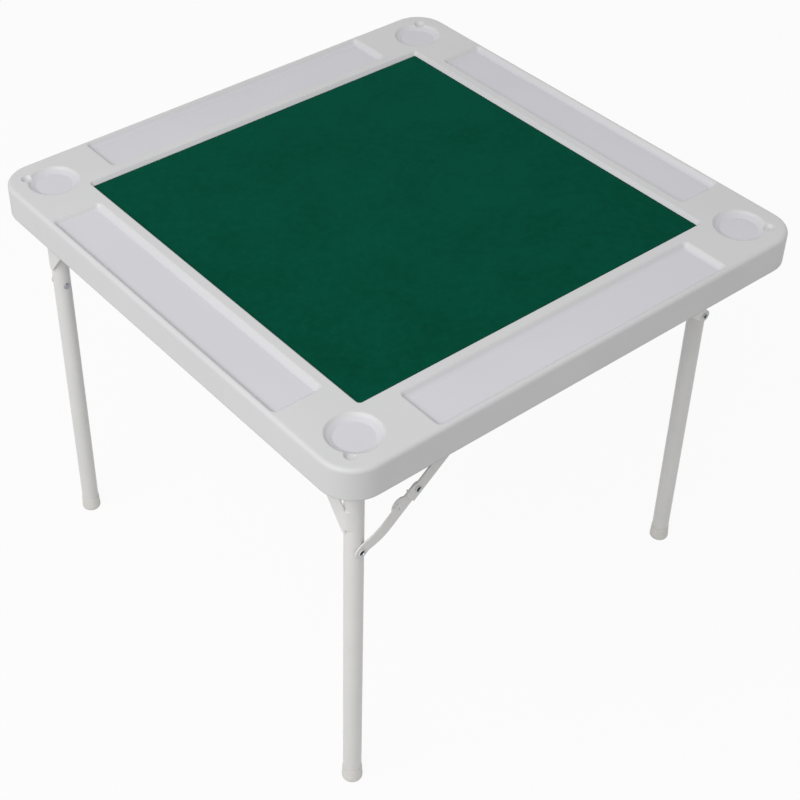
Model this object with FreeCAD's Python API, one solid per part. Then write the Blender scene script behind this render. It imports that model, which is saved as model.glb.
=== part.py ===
import FreeCAD, Part
import math
import os

# Square folding games table: a moulded top with a felt playing field, four chip trays and
# four cup holders, on two hinged leg frames held open by folding braces.
# Lengths are millimetres. X runs along one edge, Y along the other, Z is up, and the
# origin lies on the floor under the middle of the top.

V = FreeCAD.Vector
os.makedirs("parts", exist_ok=True)

# Top
side = 880.0              # width and depth of the square top
height = 710.0            # floor to the rim
skirt_depth = 53.0        # rim down to the lower edge of the skirt
corner_radius = 54.0      # plan radius of the four corners
edge_round = 6.5          # rounding between rim and skirt
skin = 3.2                # moulded wall under rim, trays and cups
skirt_wall = 4.0          # wall of the skirt
deck_wall = 2.3           # moulded floor below the playing board and the cups
overrun = 5.0             # how far a cutting shape runs past the face it opens
least_corner = 1.5        # smallest plan radius of a pocket's corner

# Playing field
field_land = 15.5         # flat land between a tray and the playing field
field_corner = 2.5        # corner radius at the felt
field_run = 4.0           # how far the sloped wall leans in
felt_drop = 6.0           # rim down to the felt
felt_corner = 1.5
felt_thick = 1.2
board_thick = 3.0
board_gap = 0.5           # free space round the board
field_lip = 1.0           # broken edge of the opening

# Chip trays, one along each edge
tray_edge = 7.5           # outer edge of the top to a tray
tray_end = 161.5          # outer edge of the top to each end of a tray
tray_wide = 83.0
tray_depth = 8.0
tray_corner = 8.5
tray_run = 6.5            # how far the sloped wall leans in
tray_foot = 2.0           # bevel between wall and floor
tray_lip = 1.5            # broken edge at the rim

# Cup holders, one in each corner
cup_in = 67.0             # outer edges of the top to a cup's centre
cup_radius = 40.5
cup_floor_radius = 32.5
cup_depth = 7.5
cup_foot = 3.5            # bevel between wall and floor
cup_lip = 1.5             # broken edge at the rim
notch_radius = 9.5        # round finger notch across the outer side of the cup's edge
notch_floor_radius = 5.5
notch_reach = 52.0        # cup centre to the notch's far end
notch_depth = 5.0

# Ribs of the underside
rib_thick = 2.5
rim_rib_step = 130.0      # spacing of the ribs along each edge
middle_rib_step = 180.0   # spacing of the ribs below the playing field
middle_rib_depth = 8.0
middle_rib_in = 48.5      # edge of the playing field to the ends of those ribs

# Leg tubes and crossbars
tube_radius = 14.3
tube_wall = 1.2
leg_in = 62.0             # outer edge of the top to the axes of a frame's legs
bracket_room = 10.6       # brace bracket to the inner face of the skirt
nest_room = 15.6          # narrow frame's brackets to the axes of the wide frame's legs
fold_room = 0.4           # free space above a folded foot cap
seat_gap = 0.3            # space between pieces that touch on a curved face
run_gap = 0.08            # radial clearance of a turning fit
pin_gap = 0.05            # radial clearance of a fixed rivet

# Foot caps
cap_radius = 15.9
cap_tall = 26.0
cap_floor = 4.0
cap_foot = 3.0            # bevel round the sole

# Gusset straps between leg and crossbar
gusset_wide = 29.0
gusset_thick = 2.5
gusset_gap = 0.1
gusset_drop = 119.5       # crossbar down to where the strap's centre line meets the leg's
gusset_angle = 52.0       # slope of the strap
gusset_past = 1.5         # upright cut of the lower end past the leg's axis
gusset_tip = 4.0          # rounding of the lower tip

# Folding braces
brace_angle = 39.0        # slope of the open brace
brace_drop = 171.4        # crossbar down to the rivet on the leg
strap_thick = 2.5
strap_half = 10.0         # half width of a strap
joggle = 6.7              # sideways step of the lower strap
joggle_start = 8.0        # leg rivet to the start of the step
joggle_end = 48.0         # leg rivet to the end of the step
joggle_bends = 6          # flats that make up the curve of the step
ear_back = 33.0           # elbow back to the middle of the ear on the lower strap
ear_half = 13.5           # half length of the ear
ear_rise = 8.4            # how far the ear stands above the strap's edge
slot_back = 36.0          # elbow back to the slot in the ear
slot_lift = 13.5
slot_long = 9.0
slot_wide = 1.8
pip_radius = 1.5          # small hole beside the slot
pip_back = 37.5
pip_lift = 2.5
tail_back = 17.5          # upper strap past the elbow
lobe_back = 6.2           # elbow back to the middle of the lobe on the upper strap
lobe_half = 11.6          # half length of the lobe
stop_back = 10.5          # elbow back to the bent stop on the lobe
stop_long = 2.6
stop_thick = 1.8
stop_gap = 1.9            # free space between the stop and the lower strap's edge

# Rivets
rivet_radius = 3.0
rivet_head = 5.5          # radius of a head
rivet_head_tall = 2.0

# Crossbar saddles and brace brackets
saddle_in = 66.0          # gusset's upper end in to the saddle
saddle_wide = 26.0
saddle_thick = 2.0
saddle_flange = 13.0      # width of each ear of the saddle
bracket_thick = 2.5
bracket_half = 13.0       # half width of the brace bracket's plate
bracket_foot = 16.0       # width of the bracket's upper flange
bracket_foot_half = 24.0
bracket_below = 12.0      # bracket plate below the pivot
pad_margin = 2.0          # moulded pad past the flange

# Heights and lengths that follow from the sizes above
skirt_z = height - skirt_depth
skin_z = height - skin
field_side = side - 2 * (tray_edge + tray_wide + field_land + field_run + field_lip)
field_depth = felt_drop + felt_thick + board_thick
deck_z = height - max(field_depth, cup_depth) - deck_wall
tray_long = side - 2 * tray_end
tray_centre = side / 2 - tray_edge - tray_wide / 2
cup_centre = side / 2 - cup_in
middle_rib_reach = field_side / 2 - middle_rib_in
pivot_z = deck_z - cap_radius - fold_room
brace_rivet_z = pivot_z - brace_drop
slope = math.radians(brace_angle)
brace_reach = brace_drop / math.tan(slope)
brace_span = brace_drop / math.sin(slope)
lower_long = (brace_span - (brace_reach - brace_drop)) / 2
upper_long = (brace_span + (brace_reach - brace_drop)) / 2
gusset_low = pivot_z - gusset_drop
gusset_run = gusset_drop / math.tan(math.radians(gusset_angle))

# Distances out from the leg's axis to the faces of the brace pieces
root_in = tube_radius + seat_gap
root_out = root_in + strap_thick
lower_in = root_in + joggle
lower_out = lower_in + strap_thick
upper_in = lower_out + seat_gap
upper_out = upper_in + strap_thick
plate_in = upper_out + seat_gap
plate_out = plate_in + bracket_thick
foot_out = plate_out + bracket_foot

# Places of the legs, and the counts of ribs
leg_x = side / 2 - leg_in
wide_leg_y = side / 2 - skirt_wall - bracket_room - foot_out
narrow_leg_y = wide_leg_y - foot_out - nest_room
rim_ribs = 1 + int(tray_long / rim_rib_step)
middle_ribs = 1 + int(2 * middle_rib_reach / middle_rib_step)

AXIS_X = V(1, 0, 0)
AXIS_Y = V(0, 1, 0)
AXIS_Z = V(0, 0, 1)


def block(x0, x1, y0, y1, z0, z1):
    return Part.makeBox(x1 - x0, y1 - y0, z1 - z0, V(x0, y0, z0))


def rounded_wire(cx, cy, long_x, long_y, radius, z):
    """Closed outline of a rectangle with round corners at height z."""
    hx = long_x / 2
    hy = long_y / 2
    turn = radius * (1 - math.sqrt(0.5))
    edges = []
    for sx, sy, along_x in ((1, 1, False), (-1, 1, True), (-1, -1, False), (1, -1, True)):
        start = V(cx + sx * hx, cy + sy * (hy - radius), z)
        end = V(cx + sx * (hx - radius), cy + sy * hy, z)
        middle = V(cx + sx * (hx - turn), cy + sy * (hy - turn), z)
        if along_x:
            start, end = end, start
        if edges:
            edges.append(Part.makeLine(edges[-1].Vertexes[-1].Point, start))
        edges.append(Part.Arc(start, middle, end).toShape())
    edges.append(Part.makeLine(edges[-1].Vertexes[-1].Point, edges[0].Vertexes[0].Point))
    return Part.Wire(edges)


def rounded_slab(cx, cy, long_x, long_y, radius, z0, z1):
    face = Part.Face(rounded_wire(cx, cy, long_x, long_y, radius, z0))
    return face.extrude(V(0, 0, z1 - z0))


def stepped_pocket(cx, cy, long_x, long_y, radius, steps):
    """Pocket below the rim through (grow, deep) steps: the outline grown by grow lies at that depth."""
    wires = []
    for grow, deep in steps:
        corner = max(radius + grow, least_corner)
        wires.append(rounded_wire(cx, cy, long_x + 2 * grow, long_y + 2 * grow, corner, height - deep))
    return Part.makeLoft(wires, True, True)


def spun(points, x, y):
    """Solid of revolution about the upright axis at x, y from (radius, height) points."""
    wire = Part.makePolygon([V(x + r, y, z) for r, z in points + points[:1]])
    return Part.Face(wire).revolve(V(x, y, 0), AXIS_Z, 360)


def round_edges(shape, radius, wanted):
    edges = [edge for edge in shape.Edges if wanted(edge)]
    return shape.makeFillet(radius, edges)


def level_edge(edge, z):
    box = edge.BoundBox
    flat = box.ZLength < seat_gap
    return flat and abs(box.Center.z - z) < seat_gap


def flipped(shape, flip_x, flip_y):
    if flip_x:
        shape = shape.mirror(V(0, 0, 0), AXIS_X)
    if flip_y:
        shape = shape.mirror(V(0, 0, 0), AXIS_Y)
    return shape


def export(name, shapes):
    shape = shapes[0] if len(shapes) == 1 else Part.makeCompound(shapes)
    shape.exportStep("parts/" + name + ".step")


# Places that repeat: trays on the four edges, cups in the four corners
tray_places = []
for sign in (-1, 1):
    tray_places.append((sign * tray_centre, 0, tray_wide, tray_long))
    tray_places.append((0, sign * tray_centre, tray_long, tray_wide))
cup_places = [(sx, sy) for sx in (-1, 1) for sy in (-1, 1)]
# The wide frame stands on the -X side and the narrow one on the +X side
frames = (("wide", False, wide_leg_y), ("narrow", True, narrow_leg_y))
ends = (("front", False), ("back", True))


def notch_dish(sx, sy, grow):
    """Round finger notch that breaks the cup's edge, or the pan round it when grown by a wall."""
    out = (notch_reach - notch_radius) * math.sqrt(0.5)
    floor_z = height - notch_depth - grow
    rim = notch_radius + grow
    return spun([(0, floor_z), (notch_floor_radius + grow, floor_z), (rim, height), (0, height)],
                sx * (cup_centre + out), sy * (cup_centre + out))


def cup_cutter(sx, sy):
    floor_z = height - cup_depth
    lip_z = height - cup_lip
    wall_top = cup_radius - cup_lip
    lean = (wall_top - cup_floor_radius) / (lip_z - floor_z)
    bowl = spun([(0, floor_z), (cup_floor_radius - cup_foot, floor_z),
                 (cup_floor_radius + lean * cup_foot, floor_z + cup_foot), (wall_top, lip_z),
                 (cup_radius, height), (cup_radius, height + overrun), (0, height + overrun)],
                sx * cup_centre, sy * cup_centre)
    return bowl.fuse(notch_dish(sx, sy, 0))


def tray_cutter(cx, cy, long_x, long_y):
    lean = tray_run / tray_depth
    steps = [(-tray_run - tray_foot, tray_depth), (-lean * (tray_depth - tray_foot), tray_depth - tray_foot),
             (-lean * tray_lip, tray_lip), (tray_lip / 2, 0)]
    return stepped_pocket(cx, cy, long_x, long_y, tray_corner, steps)


def underside():
    """Everything hollow below the moulded skin, with pans, ribs and seats left standing."""
    inner = side - 2 * skirt_wall
    bevel = edge_round - skirt_wall
    hollow = stepped_pocket(0, 0, inner, inner, corner_radius - skirt_wall,
                            [(0, skirt_depth + overrun), (0, skin + bevel), (-bevel, skin)])
    pan = field_side + 2 * (field_run + skin)
    cup_pan_z = height - cup_depth - skin
    kept = [rounded_slab(0, 0, pan, pan, field_corner + skin, deck_z, height)]
    for cx, cy, long_x, long_y in tray_places:
        kept.append(stepped_pocket(cx, cy, long_x, long_y, tray_corner,
                                   [(skin - tray_run, tray_depth + skin), (skin, 0)]))
    for sx, sy in cup_places:
        kept.append(spun([(0, cup_pan_z), (cup_floor_radius + skin, cup_pan_z),
                          (cup_radius + skin, height), (0, height)], sx * cup_centre, sy * cup_centre))
        kept.append(notch_dish(sx, sy, skin))
    half = rib_thick / 2
    edge_in = side / 2 - skirt_wall / 2
    for i in range(rim_ribs):
        at = (i - (rim_ribs - 1) / 2) * rim_rib_step
        for sign in (-1, 1):
            near, far = sorted((sign * field_side / 2, sign * edge_in))
            kept.append(block(near, far, at - half, at + half, deck_z, height - edge_round))
            kept.append(block(at - half, at + half, near, far, deck_z, height - edge_round))
    for i in range(middle_ribs):
        at = (i - (middle_ribs - 1) / 2) * middle_rib_step
        low = deck_z - middle_rib_depth
        kept.append(block(-middle_rib_reach, middle_rib_reach, at - half, at + half, low, deck_z + half))
        kept.append(block(at - half, at + half, -middle_rib_reach, middle_rib_reach, low, deck_z + half))
    kept.extend(crossbar_seats())
    kept.extend(bracket_pads())
    return hollow.cut(kept[0].multiFuse(kept[1:]))


def crossbar_seats():
    """Moulded blocks that carry the crossbars, each with a half-round bed."""
    seats = []
    reach = tube_radius + saddle_thick + saddle_flange
    for name, flip_x, leg_y in frames:
        y = leg_y - gusset_run - saddle_in
        bed = Part.makeCylinder(tube_radius + run_gap, 2 * leg_y, V(-leg_x, -leg_y, pivot_z), AXIS_Y)
        for sign in (-1, 1):
            seat = block(-leg_x - reach, -leg_x + reach, sign * y - saddle_wide / 2,
                         sign * y + saddle_wide / 2, pivot_z, height - tray_depth)
            seats.append(flipped(seat.cut(bed), flip_x, False))
    return seats


def bracket_pads():
    """Moulded pads above the flanges of the brace brackets."""
    pads = []
    for name, flip_x, leg_y in frames:
        x = brace_reach - leg_x
        reach = bracket_foot_half + pad_margin
        pad = block(x - reach, x + reach, -leg_y - foot_out - pad_margin, -leg_y - plate_in + pad_margin,
                    deck_z, skin_z)
        for end, flip_y in ends:
            pads.append(flipped(pad, flip_x, flip_y))
    return pads


def tabletop():
    body = rounded_slab(0, 0, side, side, corner_radius, skirt_z, height)
    body = round_edges(body, edge_round, lambda edge: level_edge(edge, height))
    opening = stepped_pocket(0, 0, field_side, field_side, field_corner,
                             [(0, field_depth), (0, felt_drop), (field_run, field_lip),
                              (field_run + field_lip, 0)])
    body = body.cut(underside()).cut(opening)
    body = body.cut([tray_cutter(*place) for place in tray_places])
    return body.cut([cup_cutter(sx, sy) for sx, sy in cup_places])


export("tabletop", [tabletop()])
board_side = field_side - 2 * board_gap
board_z = height - field_depth
felt_z = board_z + board_thick
export("play_board", [rounded_slab(0, 0, board_side, board_side, field_corner, board_z, felt_z)])
export("felt", [rounded_slab(0, 0, board_side, board_side, felt_corner, felt_z, felt_z + felt_thick)])


# The pieces below are made for the -X, -Y leg and mirrored to the others


def tube(start, long, axis):
    outside = Part.makeCylinder(tube_radius, long, start, axis)
    return outside.cut(Part.makeCylinder(tube_radius - tube_wall, long, start, axis))


def leg(leg_y):
    """Leg tube, its upper end shaped to the crossbar and cross-drilled for the brace rivet."""
    post = tube(V(-leg_x, -leg_y, cap_floor), pivot_z - cap_floor, AXIS_Z)
    bar = Part.makeCylinder(tube_radius + seat_gap, 4 * tube_radius,
                            V(-leg_x, -leg_y - 2 * tube_radius, pivot_z), AXIS_Y)
    drill = Part.makeCylinder(rivet_radius + pin_gap, 4 * tube_radius,
                              V(-leg_x, -leg_y - 2 * tube_radius, brace_rivet_z), AXIS_Y)
    return post.cut([bar, drill])


def crossbar(leg_y):
    reach = leg_y + tube_radius
    return tube(V(-leg_x, -reach, pivot_z), 2 * reach, AXIS_Y)


def foot_cap(leg_y):
    """Plastic cap with a bevelled sole and a socket for the tube."""
    socket = tube_radius + seat_gap
    return spun([(0, 0), (cap_radius - cap_foot, 0), (cap_radius, cap_foot), (cap_radius, cap_tall),
                 (socket, cap_tall), (socket, cap_floor), (0, cap_floor)], -leg_x, -leg_y)


def slot_plate(start, end, half, thick, out):
    """Flat strap with round ends between two points, grown by thick along out."""
    along = (end - start).normalize()
    across = along.cross(out).normalize()
    a = start + across * half
    b = end + across * half
    c = end - across * half
    d = start - across * half
    wire = Part.Wire([Part.makeLine(a, b), Part.Arc(b, end + along * half, c).toShape(),
                      Part.makeLine(c, d), Part.Arc(d, start - along * half, a).toShape()])
    return Part.Face(wire).extrude(out * thick)


def gusset(leg_y):
    """Flat strap from the crossbar to the leg, cut upright along the leg, with a rounded tip."""
    x = -leg_x - tube_radius - gusset_gap
    low = V(x, -leg_y, gusset_low)
    high = V(x, gusset_run - leg_y, pivot_z)
    below = low + (low - high).normalize() * gusset_wide
    strap = slot_plate(below, high, gusset_wide / 2, gusset_thick, V(-1, 0, 0))
    edge_y = -leg_y - gusset_past
    spare = block(x - 2 * gusset_thick, x + gusset_thick, edge_y - 3 * gusset_wide, edge_y,
                  gusset_low - 3 * gusset_wide, pivot_z)
    strap = strap.cut(spare)
    return round_edges(strap, gusset_tip, lambda edge: tip_edge(edge, edge_y))


def tip_edge(edge, y):
    box = edge.BoundBox
    across = box.XLength > gusset_thick / 2 and box.YLength < gusset_gap
    return across and box.YMax < y + gusset_gap and box.ZMax < gusset_low


def strap_disc(s, w, radius, y0, y1):
    return Part.makeCylinder(radius, y1 - y0, V(s, y0, w), AXIS_Y)


def edge_rise(s, half, rise, y0, y1):
    """Rounded rise on a strap's upper edge, half long to each side of s."""
    radius = (half ** 2 + rise ** 2) / (2 * rise)
    disc = strap_disc(s, strap_half + rise - radius, radius, y0, y1)
    return disc.common(block(s - half, s + half, y0, y1, 0, strap_half + 2 * rise))


def to_leg_rivet(shape, leg_y):
    """Strap made along X from its lower pivot, tilted and moved to the rivet on the leg."""
    shape = shape.copy()
    shape.rotate(V(0, 0, 0), AXIS_Y, -brace_angle)
    shape.translate(V(-leg_x, -leg_y, brace_rivet_z))
    return shape


def lower_strap(leg_y):
    """Lower brace strap: it steps sideways, and has an ear with a slot and a small hole."""
    y0 = -lower_out - overrun
    y1 = -root_in + overrun
    outline = [block(0, lower_long, y0, y1, -strap_half, strap_half), strap_disc(0, 0, strap_half, y0, y1),
               strap_disc(lower_long, 0, strap_half, y0, y1),
               edge_rise(lower_long - ear_back, ear_half, ear_rise, y0, y1)]
    blank = outline[0].multiFuse(outline[1:])
    tall = 2 * (strap_half + ear_rise)
    inside = [(-tall, -root_in)]
    for i in range(joggle_bends + 1):
        part = i / joggle_bends
        rise = joggle * math.sin(part * math.pi / 2)
        inside.append((joggle_start + part * (joggle_end - joggle_start), -root_in - rise))
    inside.append((lower_long + tall, -lower_in))
    corners = inside + [(s, y - strap_thick) for s, y in reversed(inside)]
    band = Part.makePolygon([V(s, y, -tall) for s, y in corners + corners[:1]])
    strap = blank.common(Part.Face(band).extrude(V(0, 0, 2 * tall)))
    slot_x = lower_long - slot_back
    cuts = [strap_disc(0, 0, rivet_radius + run_gap, y0, y1),
            strap_disc(lower_long, 0, rivet_radius + pin_gap, y0, y1),
            strap_disc(lower_long - pip_back, pip_lift, pip_radius, y0, y1),
            block(slot_x - slot_long / 2, slot_x + slot_long / 2, y0, y1,
                  slot_lift - slot_wide / 2, slot_lift + slot_wide / 2)]
    return to_leg_rivet(strap.cut(cuts).removeSplitter(), leg_y)


def upper_strap(leg_y):
    """Upper brace strap, with a lobe that is bent to a stop over the edge of the lower one."""
    elbow = lower_long
    y0 = -upper_out
    y1 = -upper_in
    stop = strap_half + stop_gap
    middle = elbow - lobe_back
    rise = stop_gap + stop_thick
    tab_end = elbow - stop_back + stop_long / 2
    tab = block(tab_end - stop_long, tab_end, y0, -lower_in, stop, 2 * stop)
    bent = edge_rise(middle, lobe_half, rise, y0, -lower_in).common(tab)
    pieces = [block(elbow - tail_back, elbow + upper_long, y0, y1, -strap_half, strap_half),
              strap_disc(elbow + upper_long, 0, strap_half, y0, y1),
              edge_rise(middle, lobe_half, rise, y0, y1), bent]
    strap = pieces[0].multiFuse(pieces[1:])
    holes = [strap_disc(elbow, 0, rivet_radius + pin_gap, y0, y1),
             strap_disc(elbow + upper_long, 0, rivet_radius + run_gap, y0, y1)]
    return to_leg_rivet(strap.cut(holes).removeSplitter(), leg_y)


def rivet(x, z, y_in, y_out, leg_y, head_in, head_out):
    """Rivet along Y; y_in and y_out are the distances out from the leg's axis."""
    parts = [Part.makeCylinder(rivet_radius, y_out - y_in, V(x, -leg_y - y_out, z), AXIS_Y)]
    for wanted, y, way in ((head_in, y_in, AXIS_Y), (head_out, y_out, V(0, -1, 0))):
        if wanted:
            parts.append(Part.makeCylinder(rivet_head, rivet_head_tall, V(x, -leg_y - y, z), way))
    return parts[0].multiFuse(parts[1:]).removeSplitter()


def elbow_point():
    x = lower_long * math.cos(slope) - leg_x
    z = lower_long * math.sin(slope) + brace_rivet_z
    return x, z


def saddle(leg_y):
    """Steel strap that holds the crossbar up in its moulded seat."""
    y = gusset_run + saddle_in - leg_y
    start = V(-leg_x, y - saddle_wide / 2, pivot_z)
    outer = tube_radius + run_gap + saddle_thick
    reach = tube_radius + saddle_thick + saddle_flange
    ring = Part.makeCylinder(outer, saddle_wide, start, AXIS_Y)
    ears = block(-leg_x - reach, -leg_x + reach, start.y, start.y + saddle_wide,
                 pivot_z - saddle_thick, pivot_z)
    above = block(-leg_x - 2 * outer, -leg_x + 2 * outer, start.y, start.y + saddle_wide,
                  pivot_z, pivot_z + 2 * outer)
    bore = Part.makeCylinder(tube_radius + run_gap, saddle_wide, start, AXIS_Y)
    return ring.fuse(ears).cut([above, bore]).removeSplitter()


def brace_bracket(leg_y):
    """Angle bracket below the top that carries the upper end of a brace."""
    x = brace_reach - leg_x
    plate = block(x - bracket_half, x + bracket_half, -leg_y - plate_out, -leg_y - plate_in,
                  pivot_z - bracket_below, deck_z)
    foot = block(x - bracket_foot_half, x + bracket_foot_half, -leg_y - foot_out, -leg_y - plate_in,
                 deck_z - bracket_thick, deck_z)
    hole = Part.makeCylinder(rivet_radius + pin_gap, 2 * bracket_thick,
                             V(x, -leg_y - plate_out - bracket_thick / 2, pivot_z), AXIS_Y)
    return plate.fuse(foot).removeSplitter().cut(hole)


pivot_rivets = []
for frame, flip_x, leg_y in frames:
    export("crossbar_" + frame, [flipped(crossbar(leg_y), flip_x, False)])
    leg_rivets = []
    foot_caps = []
    for end, flip_y in ends:
        tag = frame + "_" + end
        elbow_x, elbow_z = elbow_point()
        made = {"leg": leg(leg_y), "gusset": gusset(leg_y),
                "saddle": saddle(leg_y), "brace_bracket": brace_bracket(leg_y),
                "lower_strap": lower_strap(leg_y), "upper_strap": upper_strap(leg_y),
                "elbow_tail": rivet(elbow_x, elbow_z, lower_in, lower_out, leg_y, True, False),
                "elbow_head": rivet(elbow_x, elbow_z, upper_in, upper_out, leg_y, False, True)}
        for name, shape in made.items():
            export(name + "_" + tag, [flipped(shape, flip_x, flip_y)])
        foot_caps.append(flipped(foot_cap(leg_y), flip_x, flip_y))
        held = rivet(-leg_x, brace_rivet_z, -tube_radius, root_out, leg_y, True, True)
        leg_rivets.append(flipped(held, flip_x, flip_y))
        held = rivet(brace_reach - leg_x, pivot_z, upper_in, plate_out, leg_y, True, True)
        pivot_rivets.append(flipped(held, flip_x, flip_y))
    export("foot_caps_" + frame, foot_caps)
    export("leg_rivets_" + frame, leg_rivets)
export("pivot_rivets", pivot_rivets)
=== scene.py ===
# %% [markdown]
# # A folding games table
# The table was drawn first as solid pieces: a moulded top, a felt field, two hinged leg frames and
# their folding braces. This lesson brings those solids in, in metres, and gives them what solids
# lack: real surfaces, a cloth, rivets with rolled heads, screws and welds. Nothing is moved, so
# every piece below is placed from the boxes of the solids that carry it.

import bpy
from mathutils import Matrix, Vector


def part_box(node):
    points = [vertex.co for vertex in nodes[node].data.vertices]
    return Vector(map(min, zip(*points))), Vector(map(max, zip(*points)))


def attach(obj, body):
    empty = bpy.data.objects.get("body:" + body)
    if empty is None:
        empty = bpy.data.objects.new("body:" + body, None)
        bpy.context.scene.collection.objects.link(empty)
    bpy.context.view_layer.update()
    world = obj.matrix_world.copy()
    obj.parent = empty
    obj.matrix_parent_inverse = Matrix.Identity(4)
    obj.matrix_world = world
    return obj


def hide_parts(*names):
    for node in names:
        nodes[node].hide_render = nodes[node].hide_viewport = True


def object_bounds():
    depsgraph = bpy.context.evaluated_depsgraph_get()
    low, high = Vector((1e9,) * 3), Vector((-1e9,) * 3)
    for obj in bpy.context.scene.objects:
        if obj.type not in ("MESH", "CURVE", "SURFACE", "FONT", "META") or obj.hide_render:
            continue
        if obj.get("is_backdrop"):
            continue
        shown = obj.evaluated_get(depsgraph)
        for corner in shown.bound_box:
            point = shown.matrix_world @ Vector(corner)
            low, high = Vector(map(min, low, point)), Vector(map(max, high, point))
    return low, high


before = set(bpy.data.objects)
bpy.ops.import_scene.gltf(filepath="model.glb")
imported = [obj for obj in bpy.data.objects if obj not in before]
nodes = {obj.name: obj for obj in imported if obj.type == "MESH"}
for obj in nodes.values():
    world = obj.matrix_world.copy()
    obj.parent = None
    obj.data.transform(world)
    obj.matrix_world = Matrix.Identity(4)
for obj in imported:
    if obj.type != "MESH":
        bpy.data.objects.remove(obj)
cad_low, cad_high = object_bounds()
print("solids:", len(nodes), "table:", [round(v, 3) for v in cad_high - cad_low], "m")

# %% [markdown]
# ## The camera
# The camera stands at the corner where the wide frame and the front edge meet, and looks down at
# the table. Its place, tilt and lens were worked out from the table's own straight edges. A small
# lens shift keeps the table where it sits in the frame.

# %% Camera
import math

import bpy
from mathutils import Matrix, Vector

FRAME_PIXELS = 800
LENS_PIXELS = 1669.1
CENTRE_PIXELS = (350.7, 351.5)
SENSOR_MILLIMETRES = 36.0
# Degrees round the table, up from level, and of roll
CAMERA_ANGLES = (-38.957, 39.440, 0.290)
CAMERA_PLACE = (-1.3807, -1.6113, 2.1582)

azimuth, elevation, roll = (math.radians(angle) for angle in CAMERA_ANGLES)
back = Vector((math.sin(azimuth) * math.cos(elevation),
               -math.cos(azimuth) * math.cos(elevation), math.sin(elevation)))
across = Vector((0, 0, 1)).cross(back).normalized()
upward = back.cross(across)
right = across * math.cos(roll) + upward * math.sin(roll)
above = upward * math.cos(roll) - across * math.sin(roll)

lens = bpy.data.cameras.new("table_lens")
lens.sensor_width = SENSOR_MILLIMETRES
lens.lens = LENS_PIXELS / FRAME_PIXELS * SENSOR_MILLIMETRES
lens.shift_x = (FRAME_PIXELS / 2 - CENTRE_PIXELS[0]) / FRAME_PIXELS
lens.shift_y = (CENTRE_PIXELS[1] - FRAME_PIXELS / 2) / FRAME_PIXELS
camera = bpy.data.objects.new("table_camera", lens)
turn = Matrix((right, above, back)).transposed().to_4x4()
camera.matrix_world = Matrix.Translation(CAMERA_PLACE) @ turn
bpy.context.collection.objects.link(camera)
bpy.context.scene.camera = camera
bpy.context.scene.view_settings.view_transform = "Standard"
print("lens", round(lens.lens, 1), "mm, shift", round(lens.shift_x, 3), round(lens.shift_y, 3))

# %% [markdown]
# ## Helpers for finishes
# Paint charts and screens give colours as sRGB hex, but Blender's shaders add light, so one
# function turns hex into linear numbers. A finish is a small tree of nodes, and one function adds a
# node with its settings and whatever feeds it. The nodes that nearly every finish uses, such as
# noise, a blend of two colours and a bump, get short functions of their own. Patterns are given by
# their real size in millimetres.

# %% Colours, nodes and materials


def linear(hex_colour):
    """sRGB hex to the linear colour, with alpha, that a shader socket takes."""
    parts = [int(hex_colour[i:i + 2], 16) / 255 for i in (1, 3, 5)]
    return [p / 12.92 if p <= 0.04045 else ((p + 0.055) / 1.055) ** 2.4 for p in parts] + [1.0]


def add(tree, kind, feeds=None, **settings):
    """One shader node. A feed is a plain value or the output of another node."""
    node = tree.nodes.new("ShaderNode" + kind)
    for name, value in settings.items():
        setattr(node, name, value)
    for name, value in (feeds or {}).items():
        if isinstance(value, bpy.types.NodeSocket):
            tree.links.new(value, node.inputs[name])
        else:
            node.inputs[name].default_value = value
    return node


def new_finish(name):
    """An empty material and its node tree, with the output node ready."""
    material = bpy.data.materials.new(name)
    material.use_nodes = True
    tree = material.node_tree
    tree.nodes.clear()
    return material, tree, add(tree, "OutputMaterial")


def surface(tree, out, colour, rough, normal, **more):
    """Ends a finish with one shader that holds its colour, gloss and relief."""
    feeds = {"Base Color": colour, "Roughness": rough, "Normal": normal, **more}
    tree.links.new(add(tree, "BsdfPrincipled", feeds).outputs[0], out.inputs["Surface"])


def paint(material, *names):
    """Gives a finish to solids of the frame."""
    for name in names:
        for holder in nodes[name].material_slots:
            holder.material = material
    print(material.name, "on", len(names), "solids")


print("colour and node helpers ready")

# %% Patterns, blends and relief


def own_place(tree):
    """Points of the piece itself, in metres."""
    return add(tree, "TexCoord").outputs["Object"]


def per_metre(millimetres):
    """Texture scale that makes one cell of a pattern this wide."""
    return 1000.0 / millimetres


def noise_map(tree, cell, detail, **more):
    """Noise from 0 to 1 with cells about this many millimetres wide."""
    feeds = {"Vector": own_place(tree), "Scale": per_metre(cell), "Detail": detail, **more}
    return add(tree, "TexNoise", feeds).outputs["Fac"]


def blend(tree, share, first, second):
    """A colour between two others, each a hex colour or the output of another node."""
    first, second = (linear(end) if isinstance(end, str) else end for end in (first, second))
    return add(tree, "Mix", {0: share, 6: first, 7: second}, data_type="RGBA").outputs[2]


def ramp(tree, value, start=0.0, stop=1.0, low=0.0, high=1.0):
    """Stretches start to stop into low to high, and stays level outside."""
    return add(tree, "MapRange", {"Value": value, "From Min": start, "From Max": stop,
                                  "To Min": low, "To Max": high}).outputs[0]


def product(tree, first, second):
    """Two values multiplied."""
    return add(tree, "Math", {0: first, 1: second}, operation="MULTIPLY").outputs[0]


def larger(tree, first, second):
    """The larger of two values."""
    return add(tree, "Math", {0: first, 1: second}, operation="MAXIMUM").outputs[0]


def along(tree, vector, direction):
    """How far a vector goes in a direction."""
    feeds = {0: vector, 1: direction}
    return add(tree, "VectorMath", feeds, operation="DOT_PRODUCT").outputs["Value"]


def height_of(tree, vector):
    """The upright part of a vector."""
    return add(tree, "SeparateXYZ", {"Vector": vector}).outputs["Z"]


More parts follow.
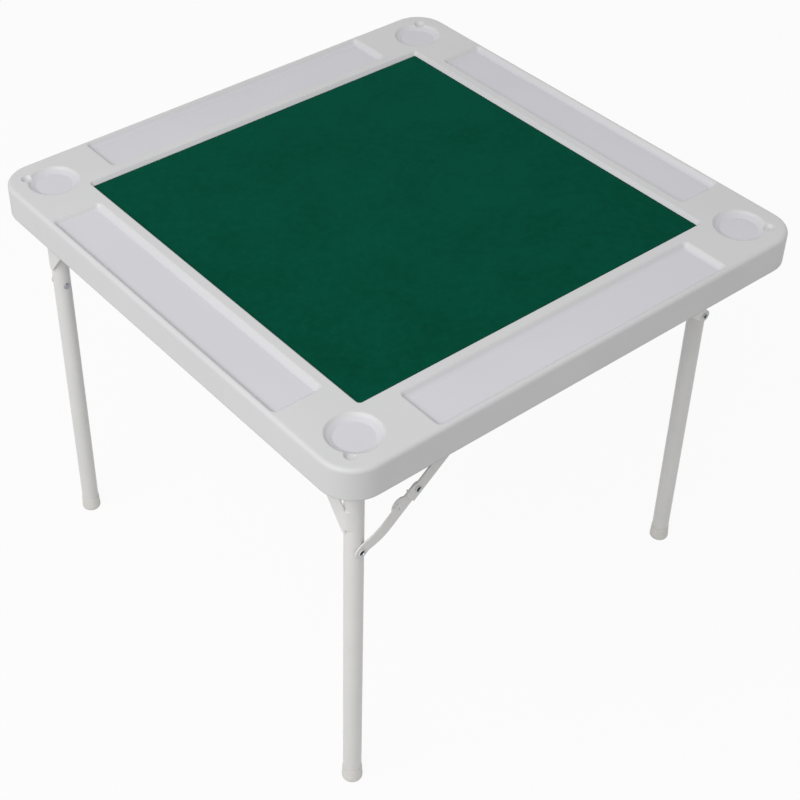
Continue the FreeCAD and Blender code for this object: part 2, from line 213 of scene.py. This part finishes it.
def bump(tree, height, strength, deep, **more):
    """A shading normal for relief this many metres deep."""
    feeds = {"Height": height, "Strength": strength, "Distance": deep, **more}
    return add(tree, "Bump", feeds).outputs[0]


def facing(tree):
    """The normal of the faces as they are modelled."""
    return add(tree, "NewGeometry").outputs["Normal"]


def rounded_edges(tree, radius, samples):
    """A shading normal that rounds off sharp edges."""
    return add(tree, "Bevel", {"Radius": radius}, samples=samples).outputs[0]


print("pattern helpers ready")

# %% [markdown]
# ## A plain studio
# A pale floor, a wide soft lamp up on the left and an even white surround are enough: the top, the
# left skirt and the right skirt then differ as they do on a table by a window. The floor shows the
# camera mostly plain white and keeps a part of its own shading, so the table's shadow stays on it.

# %% Surround
SURROUND = 0.56


def shown(tree):
    """1 where the camera looks, straight or by reflection, and 0 for light that spreads."""
    path = add(tree, "LightPath").outputs
    mirrored = larger(tree, path["Is Glossy Ray"], path["Is Transmission Ray"])
    return larger(tree, path["Is Camera Ray"], mirrored)


world = bpy.data.worlds.new("white_surround")
world.use_nodes = True
tree = world.node_tree
tree.nodes.clear()
strength = ramp(tree, shown(tree), low=SURROUND, high=1.0)
glow = add(tree, "Background", {"Color": linear("#FFFFFF"), "Strength": strength})
add(tree, "OutputWorld", {"Surface": glow.outputs[0]})
bpy.context.scene.world = world
print("surround", SURROUND)

# %% Lamp
LAMP_PLACE = (-2.6, -0.65, 3.1)
LAMP_TARGET = (0, 0, 0.6)
LAMP_SIZE = (3.1, 2.3)
LAMP_WATTS = 81

lamp = bpy.data.lights.new("window_lamp", "AREA")
lamp.shape = "RECTANGLE"
lamp.size, lamp.size_y = LAMP_SIZE
lamp.energy = LAMP_WATTS
lamp_holder = bpy.data.objects.new("window_lamp", lamp)
lamp_holder.location = LAMP_PLACE
aim = Vector(LAMP_TARGET) - lamp_holder.location
lamp_holder.rotation_euler = aim.to_track_quat("-Z", "Y").to_euler()
bpy.context.collection.objects.link(lamp_holder)
print("lamp", round(aim.length, 2), "m away")

# %% Floor
FLOOR_REACH = 14.0
FLOOR_BELOW = 0.0005
FLOOR_GLOW = 0.93

floor_finish, tree, out = new_finish("matt_white_studio_floor")
matt = add(tree, "BsdfDiffuse", {"Color": linear("#D8D8D8")})
white = add(tree, "Emission", {"Color": linear("#FFFFFF"), "Strength": 1.0})
mixed = add(tree, "MixShader", {0: product(tree, shown(tree), FLOOR_GLOW),
                                1: matt.outputs[0], 2: white.outputs[0]})
tree.links.new(mixed.outputs[0], out.inputs["Surface"])

sheet = bpy.data.meshes.new("studio_floor")
corners = [(x * FLOOR_REACH, y * FLOOR_REACH, -FLOOR_BELOW)
           for x, y in ((-1, -1), (1, -1), (1, 1), (-1, 1))]
sheet.from_pydata(corners, [], [(0, 1, 2, 3)])
floor = bpy.data.objects.new("studio_floor", sheet)
sheet.materials.append(floor_finish)
bpy.context.collection.objects.link(floor)
floor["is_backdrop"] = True
print("floor", 2 * FLOOR_REACH, "m square")

# %% [markdown]
# ## The moulded top
# The top is one piece of injection-moulded polypropylene, light grey. Such a mould is spark-eroded,
# which leaves a fine even grain, and the plastic comes out satin. The floors of trays and cups,
# sunk and facing up, are tinted a little cooler than the rim and the skirt. The eye reads the
# form by its soft highlights: every lip is rounded by a few millimetres, so a bevel node rounds
# the shading there, and the lips are also painted a little lighter, a painted highlight.

# %% Moulded polypropylene
LIP_ROUND = 0.0028
# A floor counts as sunk from the first depth below the rim, and fully so from the second
SUNK_FROM, SUNK_TO = 0.002, 0.006

top_finish, tree, out = new_finish("polypropylene_moulded_satin_grey")
flow = noise_map(tree, 170, 2.0)
# Rim and skirt take the first tone; floors sunk below the rim and facing up take the second, a
# little cooler
rim_tone = blend(tree, flow, "#C9C9CA", "#D1D1D2")
cool = blend(tree, flow, "#C9C8CD", "#D1D0D5")
sunk = ramp(tree, height_of(tree, own_place(tree)), cad_high.z - SUNK_FROM, cad_high.z - SUNK_TO)
level = ramp(tree, height_of(tree, facing(tree)), 0.2, 0.95)
tone = blend(tree, product(tree, sunk, level), rim_tone, cool)
rounded = rounded_edges(tree, LIP_ROUND, 6)
# Painted highlight: where the rounded shading turns away from the flat faces, the lips are painted
# lighter
lip_highlight = ramp(tree, along(tree, rounded, facing(tree)), 1.0, 0.75, high=0.45)
colour = blend(tree, lip_highlight, tone, "#DCDCDD")
# The real grain is about 0.2 mm; it is drawn at 0.9 mm so that the render can hold it
grain = noise_map(tree, 0.9, 3.0)
# Shrinkage waves over the ribs, some 60 mm long and a few hundredths deep
waves = noise_map(tree, 60, 1.0)
waved = bump(tree, waves, 0.25, 0.0004, Normal=rounded)
pitted = bump(tree, grain, 0.10, 0.0003, Normal=waved)
wiped = noise_map(tree, 45, 5.0, Distortion=0.6)
dull = ramp(tree, wiped, 0.3, 0.7, low=0.40, high=0.50)
surface(tree, out, colour, dull, pitted, IOR=1.49)
paint(top_finish, "tabletop")

# %% [markdown]
# ## White powder-coated steel
# Legs, crossbars, gussets and brace straps are steel sprayed with polyester powder and baked. The
# coat flows a little before it sets and leaves a faint orange peel a few millimetres wide. Sharp
# edges are painted a little lighter, a painted highlight. It is a plastic to the eye, not a metal,
# so it stays non-metallic.

# %% White powder coat
COATED = ("leg_wide", "leg_narrow", "crossbar", "gusset", "lower_strap", "upper_strap")
COAT_ROUND = 0.0007

coat_finish, tree, out = new_finish("powder_coat_baked_white")
cloud = noise_map(tree, 55, 3.0)
tone = blend(tree, cloud, "#D5D4D3", "#DFDEDD")
rounded = rounded_edges(tree, COAT_ROUND, 4)
# Painted highlight: sharp edges are painted lighter
edge = ramp(tree, along(tree, rounded, facing(tree)), 0.98, 0.8, high=0.5)
colour = blend(tree, edge, tone, "#E9E8E8")
peel = noise_map(tree, 2.4, 1.5)
rippled = bump(tree, peel, 0.12, 0.0004, Normal=rounded)
dull = ramp(tree, cloud, 0.3, 0.7, low=0.32, high=0.42)
surface(tree, out, colour, dull, rippled, IOR=1.5)
paint(coat_finish, *[name for name in nodes if name.startswith(COATED)])

# %% [markdown]
# ## Polythene foot caps
# Each leg stands in a pushed-on cap of soft polythene, a little warmer and duller than the paint.
# A cap picks up grey scuffs from the floor, most of all near its sole.

# %% Polythene foot caps
SCUFF_TALL = 0.010

cap_finish, tree, out = new_finish("polythene_moulded_matt_white")
tone = blend(tree, noise_map(tree, 14, 4.0), "#D6D3CE", "#E0DED9")
low = ramp(tree, height_of(tree, own_place(tree)), SCUFF_TALL, 0.0, high=0.22)
rubbed = noise_map(tree, 3.5, 5.0)
colour = blend(tree, product(tree, low, rubbed), tone, "#8E8B86")
skin = bump(tree, rubbed, 0.15, 0.0003)
dull = ramp(tree, rubbed, 0.3, 0.7, low=0.48, high=0.62)
surface(tree, out, colour, dull, skin, IOR=1.51)
print("cap finish ready")

# %% [markdown]
# ## Zinc-plated steel
# Saddles and brackets sit under the top where nobody looks, so they are only zinc plated. Plating
# leaves a bluish metal with faint crystal patches, each reflecting a little differently.

# %% Zinc-plated steel
ZINC_ROUND = 0.0006

zinc_finish, tree, out = new_finish("zinc_plated_pressed_steel")
crystal = add(tree, "TexVoronoi", {"Vector": own_place(tree), "Scale": per_metre(5),
                                   "Randomness": 1.0})
patch = add(tree, "SeparateColor", {"Color": crystal.outputs["Color"]}).outputs["Red"]
colour = blend(tree, patch, "#A9ADB3", "#C3C7CC")
dull = ramp(tree, patch, low=0.34, high=0.50)
rounded = rounded_edges(tree, ZINC_ROUND, 4)
skin = bump(tree, noise_map(tree, 1.5, 4.0), 0.08, 0.0003, Normal=rounded)
surface(tree, out, colour, dull, skin, Metallic=1.0)
paint(zinc_finish, *[name for name in nodes if name.startswith(("saddle", "brace_bracket"))])

# %% [markdown]
# ## Hardboard under the cloth
# The cloth is glued to a sheet of tempered hardboard: wood fibre pressed hot with oil, which turns
# it a very dark brown with still darker strands.

# %% Hardboard
board_finish, tree, out = new_finish("hardboard_tempered_dark_brown")
strand = noise_map(tree, 4, 6.0, Distortion=1.5)
colour = blend(tree, strand, "#261C14", "#3A2B1F")
hairy = bump(tree, strand, 0.3, 0.0004)
dull = ramp(tree, strand, low=0.6, high=0.8)
surface(tree, out, colour, dull, hairy, IOR=1.5)
paint(board_finish, "play_board")

# %% [markdown]
# ## The green baize
# Baize is woven wool that is shrunk and brushed until the weave disappears under a short nap. It
# drinks light: almost no gloss, a faint pale bloom at a low angle, and soft clouds where hands have
# brushed the nap one way or the other. The fibres themselves are far too thin to see.

# %% Green baize
# Wool fibres are 0.03 mm thick; their tufts are drawn this wide so that the render can hold them
TUFT = 1.3
# The cloth is painted a shade lighter towards one corner and darker towards the other: painted
# light
PAINTED_LIGHT_WAY = (0.7, 0.7, 0.0)
PAINTED_LIGHT_REACH = 0.45

baize_finish, tree, out = new_finish("wool_baize_brushed_green")
cloud = noise_map(tree, 120, 4.0, Roughness=0.6)
brushed = noise_map(tree, 16, 4.0, Roughness=0.65, Distortion=0.5)
tuft = noise_map(tree, TUFT, 5.0, Roughness=0.7)
# Painted light: a gradient that paints the cloth lighter towards one corner
painted_light_gradient = ramp(tree, along(tree, own_place(tree), PAINTED_LIGHT_WAY), -PAINTED_LIGHT_REACH, PAINTED_LIGHT_REACH, -0.25, 0.25)
cloudy = ramp(tree, cloud, 0.3, 0.7, low=0.2, high=0.8)
deep = add(tree, "Math", {0: cloudy, 1: painted_light_gradient}, operation="ADD", use_clamp=True).outputs[0]
tone = blend(tree, deep, "#034330", "#06523F")
stroke = ramp(tree, brushed, 0.35, 0.75, high=0.5)
light = blend(tree, stroke, tone, "#095844")
pile = ramp(tree, tuft, 0.3, 0.7, low=0.45, high=0.0)
colour = blend(tree, pile, light, "#033728")
nap = bump(tree, tuft, 0.35, 0.0006)
dull = ramp(tree, brushed, low=0.86, high=0.98)
bloom = {"Specular IOR Level": 0.02, "Sheen Weight": 0.015, "Sheen Roughness": 0.5,
         "Sheen Tint": linear("#5E9A84")}
surface(tree, out, colour, dull, nap, **bloom)
print("baize tufts", TUFT, "mm")

# %% [markdown]
# ## The cloth itself
# The cloth is cut to the field, glued down and trimmed, so it is flat but not dead flat: the glue
# and the board leave it a tenth of a millimetre up and down. A fine grid with rounded corners holds
# that, its outermost ring turns down where the knife cut it, and a solidify modifier gives it body.

# %% The cloth
import bmesh
from mathutils import noise

CLOTH_CELLS = 120
CLOTH_CORNER = 0.0015
# The cloth is trimmed against the field's wall, a little past the board that carries it
CLOTH_PAST = 0.0004
# Waves in the glue: their length, their height and how far the cloth lies below its solid's top
WAVE_LONG, WAVE_TALL, WAVE_SUNK = 0.06, 0.00010, 0.00012
# The cut edge: its width and how far it turns down
CUT_WIDE, CUT_DOWN = 0.001, 0.0003
# Share of a sine in the spacing of the grid, which crowds its lines towards the edge
CROWDED = 0.35
MERGE_DISTANCE = 1e-6

cloth_low, cloth_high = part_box("felt")
half = (cloth_high.x - cloth_low.x) / 2 + CLOTH_PAST
thick = cloth_high.z - cloth_low.z


def cloth_point(across_share, along_share):
    """Grid point of the cloth, its corners drawn in to the cut's radius."""
    point = Vector((across_share * half, along_share * half))
    core = half - CLOTH_CORNER
    inner = Vector((max(-core, min(core, point.x)), max(-core, min(core, point.y))))
    over = point - inner
    if over.length > CLOTH_CORNER:
        point = inner + over.normalized() * CLOTH_CORNER
    trimmed = half - max(abs(point.x), abs(point.y)) < CUT_WIDE
    wave = noise.noise(Vector((point.x, point.y, 0)) / WAVE_LONG) * WAVE_TALL - WAVE_SUNK
    return Vector((point.x, point.y, cloth_high.z + wave - (CUT_DOWN if trimmed else 0.0)))


shape = bmesh.new()
steps = [2 * i / CLOTH_CELLS - 1 for i in range(CLOTH_CELLS + 1)]
shares = [math.sin(math.pi / 2 * step) * CROWDED + step * (1 - CROWDED) for step in steps]
grid = [[shape.verts.new(cloth_point(a, b)) for a in shares] for b in shares]
for row, after in zip(grid, grid[1:]):
    for i in range(CLOTH_CELLS):
        shape.faces.new((row[i], row[i + 1], after[i + 1], after[i]))
bmesh.ops.remove_doubles(shape, verts=shape.verts, dist=MERGE_DISTANCE)
for face in shape.faces:
    face.smooth = True
mesh = bpy.data.meshes.new("felt_cloth")
shape.to_mesh(mesh)
shape.free()
cloth = bpy.data.objects.new("felt_cloth", mesh)
mesh.materials.append(baize_finish)
bpy.context.collection.objects.link(cloth)
body = cloth.modifiers.new("cloth_thickness", "SOLIDIFY")
body.thickness = thick - CUT_DOWN
body.offset = -1.0
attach(cloth, "top")
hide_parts("felt")
print("cloth", round(2 * half, 4), "m square,", len(mesh.polygons), "cells")

# %% [markdown]
# ## Tubular rivets
# Everything that swings is held by tubular rivets. The inner end is the factory's low dome, and the
# outer end is a tube rolled open over the strap and painted with it. From above, the eye meets the
# bore's floor, painted near black as shade, and beyond it a pale crescent of bare, lit wall. The
# ends are turned shapes, so one small lathe function spins a profile round the rivet's axis.

# %% Plated rivet steel and its dark bore
SMEAR_SPREAD = 0.09


def rivet_steel(name, dark, pale, rough):
    """Plated steel, smeared and dented by the rivet set."""
    material, tree, out = new_finish(name)
    smear = noise_map(tree, 1.2, 4.0)
    dull = ramp(tree, smear, low=rough - SMEAR_SPREAD, high=rough + SMEAR_SPREAD)
    skin = bump(tree, smear, 0.1, 0.0002)
    surface(tree, out, blend(tree, smear, dark, pale), dull, skin, Metallic=1.0)
    return material


wall_finish = rivet_steel("zinc_plated_rivet_wall", "#A3ADB2", "#C2CBCF", 0.33)
# The dome is a darker copy of the wall's steel: painted shade
dome_finish = rivet_steel("rivet_steel_dome_painted_shade", "#8E9096", "#A9ABB1", 0.42)

# The inside of the tube is painted near black: painted shade of the bore
bore_painted_shade, tree, out = new_finish("rivet_bore_painted_shade")
bore_mottle = noise_map(tree, 0.8, 4.0)
colour = blend(tree, bore_mottle, "#26272B", "#44474C")
dull = ramp(tree, bore_mottle, low=0.45, high=0.7)
surface(tree, out, colour, dull, bump(tree, bore_mottle, 0.2, 0.0002), IOR=1.47)
print("rivet finishes ready")

# %% Lathe


def metres(profile):
    """A profile of (radius, height, finish) points from millimetres to metres."""
    return [(radius / 1000, height / 1000, finish) for radius, height, finish in profile]


def lathe(shape, profile, centre, axis, steps=40):
    """Spins (radius, height, finish) points round an axis; a zero radius closes the shape."""
    side = axis.orthogonal().normalized()
    other = axis.cross(side)
    turns = [2 * math.pi * i / steps for i in range(steps)]
    spokes = [side * math.cos(t) + other * math.sin(t) for t in turns]
    rings = [[shape.verts.new(centre + axis * height + spoke * radius)
              for spoke in (spokes if radius else spokes[:1])] for radius, height, _ in profile]
    for ring, after, (_, _, finish) in zip(rings, rings[1:], profile[1:]):
        for i in range(steps):
            corners = [ring[i % len(ring)], ring[(i + 1) % len(ring)],
                       after[(i + 1) % len(after)], after[i % len(after)]]
            face = shape.faces.new(list(dict.fromkeys(corners)))
            face.material_index = finish
            face.smooth = True


def quarter_boxes(name):
    """Boxes of a node's solids, one for each quarter of the table that holds one."""
    quarters = {}
    for vertex in nodes[name].data.vertices:
        quarters.setdefault((vertex.co.x > 0, vertex.co.y > 0), []).append(vertex.co)
    return [(Vector(map(min, zip(*group))), Vector(map(max, zip(*group))))
            for group in quarters.values()]


def placed(name, shape, finishes, body):
    """Turns a finished shape into a piece that moves with a body of the table."""
    bmesh.ops.remove_doubles(shape, verts=shape.verts, dist=MERGE_DISTANCE)
    bmesh.ops.recalc_face_normals(shape, faces=shape.faces)
    mesh = bpy.data.meshes.new(name)
    shape.to_mesh(mesh)
    shape.free()
    for finish in finishes:
        mesh.materials.append(finish)
    piece = bpy.data.objects.new(name, mesh)
    bpy.context.collection.objects.link(piece)
    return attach(piece, body)


print("lathe ready")

# %% Rivets
HEAD_TALL = 0.0020
HEAD_FOOT = 0.0052
SHANK = 0.0030
# Height over which the shank steps out to the foot of a head
SHANK_STEP = 0.00001
RIVET_FINISHES = [wall_finish, bore_painted_shade, coat_finish, dome_finish]
WALL, BORE, COAT, DOME = range(len(RIVET_FINISHES))
# Radius and height in millimetres from the strap's face
ROLLED_END = [(5.2, 0.0, COAT), (5.5, 0.3, COAT), (5.5, 1.0, COAT), (5.35, 1.6, COAT),
              (5.05, 1.95, COAT), (4.8, 2.0, COAT),
              (4.55, 1.85, WALL), (4.35, 1.4, WALL), (4.2, 0.8, WALL), (3.9, 0.3, WALL),
              (3.4, 0.15, BORE), (2.7, 0.1, BORE), (2.6, -0.3, BORE), (2.55, -1.5, BORE),
              (0, -1.6, BORE)]
DOMED_END = [(5.2, 0.0, DOME), (5.5, 0.25, DOME), (5.4, 0.8, DOME), (4.9, 1.3, DOME),
             (3.9, 1.7, DOME), (2.2, 1.95, DOME), (0, 2.0, DOME)]


def rivet(shape, low, high, inner_head, outer_head):
    """A rivet along the table's width, domed on its inner end and rolled open on its outer one."""
    outward = Vector((0, math.copysign(1, low.y + high.y), 0))
    ends = sorted((low.y, high.y), key=abs)
    inner = Vector(((low.x + high.x) / 2, ends[0], (low.z + high.z) / 2))
    outer = Vector((inner.x, ends[1], inner.z))
    if inner_head:
        inner = inner + outward * HEAD_TALL
        lathe(shape, metres(DOMED_END), inner, -outward)
    if outer_head:
        outer = outer - outward * HEAD_TALL
        lathe(shape, metres(ROLLED_END), outer, outward)
    long = (outer - inner).length
    lathe(shape, [(HEAD_FOOT if inner_head else 0, 0, WALL), (SHANK, SHANK_STEP, WALL),
                  (SHANK, long - SHANK_STEP, WALL), (HEAD_FOOT if outer_head else 0, long, WALL)],
          inner, outward)


def rivet_piece(node, body, inner_head, outer_head):
    """All rivets of a node as one piece, which takes the place of its plain solids."""
    shape = bmesh.new()
    for low, high in quarter_boxes(node):
        rivet(shape, low, high, inner_head, outer_head)
    piece = placed("turned_" + node, shape, RIVET_FINISHES, body)
    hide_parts(node)


rivet_piece("pivot_rivets", "top", True, True)
for side_name in ("wide", "narrow"):
    rivet_piece("leg_rivets_" + side_name, side_name + "_frame", True, True)
    for end in ("front", "back"):
        tag = side_name + "_" + end
        rivet_piece("elbow_tail_" + tag, "lower_brace_" + tag, True, False)
        rivet_piece("elbow_head_" + tag, "upper_brace_" + tag, False, True)

# %% [markdown]
# ## Turned foot caps
# A pushed-on cap has no sharp step: its lip thins out against the tube, the wall flares gently down
# to the sole, and the sole is rounded with a shallow hollow in the middle. The same lathe turns it.

# %% Foot caps
CAP_STEPS = 56
# Radius and height in millimetres above the floor, from inside the socket over the lip to the sole
CAP = [(0, 3.9, 0), (14.35, 3.9, 0), (14.35, 25.7, 0),
       (14.45, 25.95, 0), (14.65, 26.0, 0), (14.9, 25.8, 0), (15.05, 25.3, 0),
       (15.15, 23.5, 0), (15.35, 18.0, 0), (15.7, 12.0, 0), (16.0, 7.5, 0), (16.15, 5.0, 0),
       (16.15, 3.6, 0), (15.95, 2.2, 0), (15.5, 1.1, 0), (14.8, 0.4, 0), (13.8, 0.0, 0),
       (12.2, 0.0, 0), (11.7, 0.3, 0), (11.2, 0.9, 0), (0, 1.0, 0)]

for side_name in ("wide", "narrow"):
    shape = bmesh.new()
    for low, high in quarter_boxes("foot_caps_" + side_name):
        under = Vector(((low.x + high.x) / 2, (low.y + high.y) / 2, low.z))
        lathe(shape, metres(CAP), under, Vector((0, 0, 1)), CAP_STEPS)
    caps = placed("turned_caps_" + side_name, shape, [cap_finish], side_name + "_frame")
    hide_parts("foot_caps_" + side_name)
    print(caps.name, len(caps.data.polygons), "faces")

# %% [markdown]
# ## Screws below the top
# Pan-head screws hold the saddles and brackets up to the moulding. A head is a turned dome with a
# cross sunk into it; the cross is cut with a boolean, as a press would punch it.

# %% One screw head
SCREW_STEPS = 32
# Radius and height in millimetres
PAN = [(0, 0.0, 0), (4.0, 0.0, 0), (4.0, 0.5, 0), (3.8, 1.2, 0), (3.2, 1.9, 0), (2.2, 2.3, 0),
       (0, 2.4, 0)]
# The punch: each arm's width and length, how far out it starts, its travel and its taper
ARM_WIDE, ARM_LONG = 0.0009, 0.0044
PUNCH_FROM, PUNCH_TRAVEL, PUNCH_TAPER = 0.0030, 0.0022, 0.35


def mesh_object(name, shape):
    """A linked object from a shape, for work that needs objects."""
    made = bpy.data.objects.new(name, bpy.data.meshes.new(name))
    shape.to_mesh(made.data)
    shape.free()
    bpy.context.collection.objects.link(made)
    return made


def punch_shape():
    """Two crossed bars that narrow towards the bottom of the cross."""
    shape = bmesh.new()
    for wide, long in ((ARM_WIDE, ARM_LONG), (ARM_LONG, ARM_WIDE)):
        for vertex in bmesh.ops.create_cube(shape, size=1.0)["verts"]:
            deep = 0.0 if vertex.co.z < 0 else 1.0
            narrow = 1.0 - PUNCH_TAPER * deep
            vertex.co = Vector((vertex.co.x * wide * narrow, vertex.co.y * long * narrow,
                                PUNCH_TRAVEL * deep - PUNCH_FROM))
    return shape


def screw_mesh():
    """The mesh of one pan head with its cross, which all screws share."""
    shape = bmesh.new()
    lathe(shape, metres(PAN), Vector(), Vector((0, 0, -1)), SCREW_STEPS)
    bmesh.ops.recalc_face_normals(shape, faces=shape.faces)
    head = mesh_object("screw_blank", shape)
    punch = mesh_object("screw_punch", punch_shape())
    cut = head.modifiers.new("cross", "BOOLEAN")
    cut.object = punch
    cut.solver = "EXACT"
    cut.use_self = True
    bpy.context.view_layer.update()
    finished = head.evaluated_get(bpy.context.evaluated_depsgraph_get())
    done = bpy.data.meshes.new_from_object(finished)
    done.name = "pan_screw"
    for tool in (head, punch):
        bpy.data.objects.remove(tool)
    done.materials.clear()
    done.materials.append(zinc_finish)
    return done


pan_screw = screw_mesh()
print("screw head", len(pan_screw.polygons), "faces")

# %% Screws in place
SADDLE_SHEET = 0.0020
SADDLE_FLANGE = 0.013
BRACKET_SHEET = 0.0025
# How far the screws of a bracket stand in from its outer side and from its ends
BRACKET_SIDE, BRACKET_END = 0.008, 0.006
# A screw stops at any angle: these only make each cross lie differently
TURN_NEXT, TURN_NAME = 0.9, 0.37

seats = {}
for name in nodes:
    if name.startswith("saddle_"):
        low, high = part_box(name)
        middle = (low.y + high.y) / 2
        seats[name] = [Vector((x, middle, high.z - SADDLE_SHEET))
                       for x in (low.x + SADDLE_FLANGE / 2, high.x - SADDLE_FLANGE / 2)]
    if name.startswith("brace_bracket_"):
        low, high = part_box(name)
        outer = max((low.y, high.y), key=abs)
        y = outer - math.copysign(BRACKET_SIDE, outer)
        seats[name] = [Vector((x, y, high.z - BRACKET_SHEET))
                       for x in (low.x + BRACKET_END, high.x - BRACKET_END)]
for name, points in seats.items():
    for i, point in enumerate(points):
        screw = bpy.data.objects.new("screw_%s_%d" % (name, i + 1), pan_screw)
        screw.location = point
        screw.rotation_euler = (0, 0, TURN_NEXT * i + TURN_NAME * len(name) * (1 + i))
        bpy.context.collection.objects.link(screw)
        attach(screw, "top")
print("screws", sum(len(points) for points in seats.values()))

# %% [markdown]
# ## Welds under the paint
# Legs and gussets are welded to the crossbars before painting. A hand-laid bead is a row of small
# overlapping ripples, so a round rope is swept along each joint and its thickness beats about once
# every three millimetres. Along a gusset's upright cut the weld is a wide, smooth fillet, which
# runs from the strap's face down to the tube. The paint covers all of it.

# %% Beads and fillets
BEAD = 0.0016
BEAD_BEAT = 0.12
BEAD_ROUND = 10
RIPPLE = 0.003
# A weld starts and ends at the first share of its size, and grows by the second from step to step
TAPER_FROM, TAPER_STEP = 0.3, 0.1
# The fillet: its lap on the strap, its crest past the cut and above the strap, and its reach on
# the tube
LAP, CREST, SWELL, REACH = 0.0015, 0.0025, 0.0010, 0.0090
SWELL_BEAT = 0.25
BURIED = 0.0012
FILLET_STEPS = 10


def beat(travel):
    """Swings between 1 and -1, once for each ripple of a weld."""
    return math.cos(2 * math.pi * travel / RIPPLE)


def taper(i, count):
    """Share of its full size that a weld has at one of its steps."""
    return min(1.0, TAPER_FROM + TAPER_STEP * min(i, count - 1 - i))


def skin_over(shape, rings):
    """Faces from each ring to the next, and over the first and the last one."""
    for ring, after in zip(rings, rings[1:]):
        count = len(ring)
        near = min(range(count), key=lambda k: (after[k].co - ring[0].co).length)
        for k in range(count):
            corners = (ring[k], ring[(k + 1) % count],
                       after[(k + 1 + near) % count], after[(k + near) % count])
            shape.faces.new(corners).smooth = True
    shape.faces.new(rings[0])
    shape.faces.new(rings[-1])


def bead(shape, path):
    """A rippled rope along a path of points, closed at both ends."""
    rings = []
    walked = 0.0
    for i, point in enumerate(path):
        before, after = path[max(i - 1, 0)], path[min(i + 1, len(path) - 1)]
        walked += (point - before).length
        ahead = (after - before).normalized()
        side = ahead.orthogonal().normalized()
        other = ahead.cross(side)
        size = BEAD * taper(i, len(path)) * (1 - BEAD_BEAT + BEAD_BEAT * beat(walked))
        turns = [2 * math.pi * k / BEAD_ROUND for k in range(BEAD_ROUND)]
        rings.append([shape.verts.new(point + (side * math.cos(a) + other * math.sin(a)) * size)
                      for a in turns])
    skin_over(shape, rings)


def fillet(shape, axis, radius, cut_y, face_x, heights):
    """A smooth weld from a strap's upright cut, on its face, over to the tube that carries it."""
    out = math.copysign(1, face_x - axis.x)
    past = math.copysign(1, cut_y - axis.y)
    strap = abs(face_x - axis.x)
    foot = math.sqrt(radius ** 2 - (abs(cut_y - axis.y) + REACH) ** 2)
    root = Vector((0.0, radius - BEAD))
    start, end = Vector((-LAP, strap)), Vector((REACH, foot))
    shares = [k / FILLET_STEPS for k in range(FILLET_STEPS + 1)]
    rings = []
    for i, height in enumerate(heights):
        crest = Vector((CREST, strap + SWELL * (1 + SWELL_BEAT * beat(height))))
        section = [start * (1 - u) ** 2 + crest * 2 * u * (1 - u) + end * u ** 2 for u in shares]
        # Both long edges dip below the steel, so that no fold shows there
        section.insert(0, start - Vector((BURIED, BURIED)))
        section.append(end + (end - crest).normalized() * BURIED)
        section = [root] + [root.lerp(point, taper(i, len(heights))) for point in section]
        rings.append([shape.verts.new((axis.x + out * point.y, cut_y + past * point.x, height))
                      for point in section])
    skin_over(shape, rings)


print("weld helpers ready")

# %% Welds
# A leg's joint with its crossbar is welded in two halves, in degrees round the leg
JOINT_HALVES = ((3, 177), (183, 357))
JOINT_STEPS = 60
# Welds on a gusset start this far from its end and go on in steps
GUSSET_FROM, GUSSET_STEP = 0.004, 0.0005
CUT_STEPS, FLAT_STEPS = 82, 44


def joint_path(middle, radius, first, last):
    """The line where an upright tube meets a level one of the same radius above it."""
    turns = [math.radians(first + (last - first) * i / JOINT_STEPS) for i in range(JOINT_STEPS + 1)]
    return [Vector((middle.x + radius * math.cos(a), middle.y + radius * math.sin(a),
                    middle.z - radius * abs(math.sin(a)))) for a in turns]


def gusset_steps(count):
    """Distances from a gusset's end at which its weld is drawn."""
    return [GUSSET_FROM + GUSSET_STEP * i for i in range(count)]


for side_name in ("wide", "narrow"):
    shape = bmesh.new()
    bar_low, bar_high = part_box("crossbar_" + side_name)
    radius = (bar_high.z - bar_low.z) / 2
    for end in ("front", "back"):
        leg_low, leg_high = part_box("leg_%s_%s" % (side_name, end))
        middle = (leg_low + leg_high) / 2
        middle.z = (bar_low.z + bar_high.z) / 2
        for first, last in JOINT_HALVES:
            bead(shape, joint_path(middle, radius, first, last))
        strap_low, strap_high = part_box("gusset_%s_%s" % (side_name, end))
        face = middle.x + math.copysign(radius, middle.x)
        inward = -math.copysign(1, middle.y)
        cut_y, upper_y = sorted((strap_low.y, strap_high.y), key=lambda y: y * inward)
        outer_x = max((strap_low.x, strap_high.x), key=abs)
        fillet(shape, middle, radius, cut_y, outer_x,
               [strap_low.z + step for step in gusset_steps(CUT_STEPS)])
        bead(shape, [Vector((face, upper_y - inward * step, middle.z))
                     for step in gusset_steps(FLAT_STEPS)])
    welds = placed("welds_" + side_name, shape, [coat_finish], side_name + "_frame")
    print(welds.name, len(welds.data.polygons), "faces")

# %% [markdown]
# ## Last look at the size
# The dressed table has to stay as large as the solids, so both boxes are written side by side.

low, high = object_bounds()
print("visual", [round(v, 4) for v in high - low],
      "solids", [round(v, 4) for v in cad_high - cad_low])
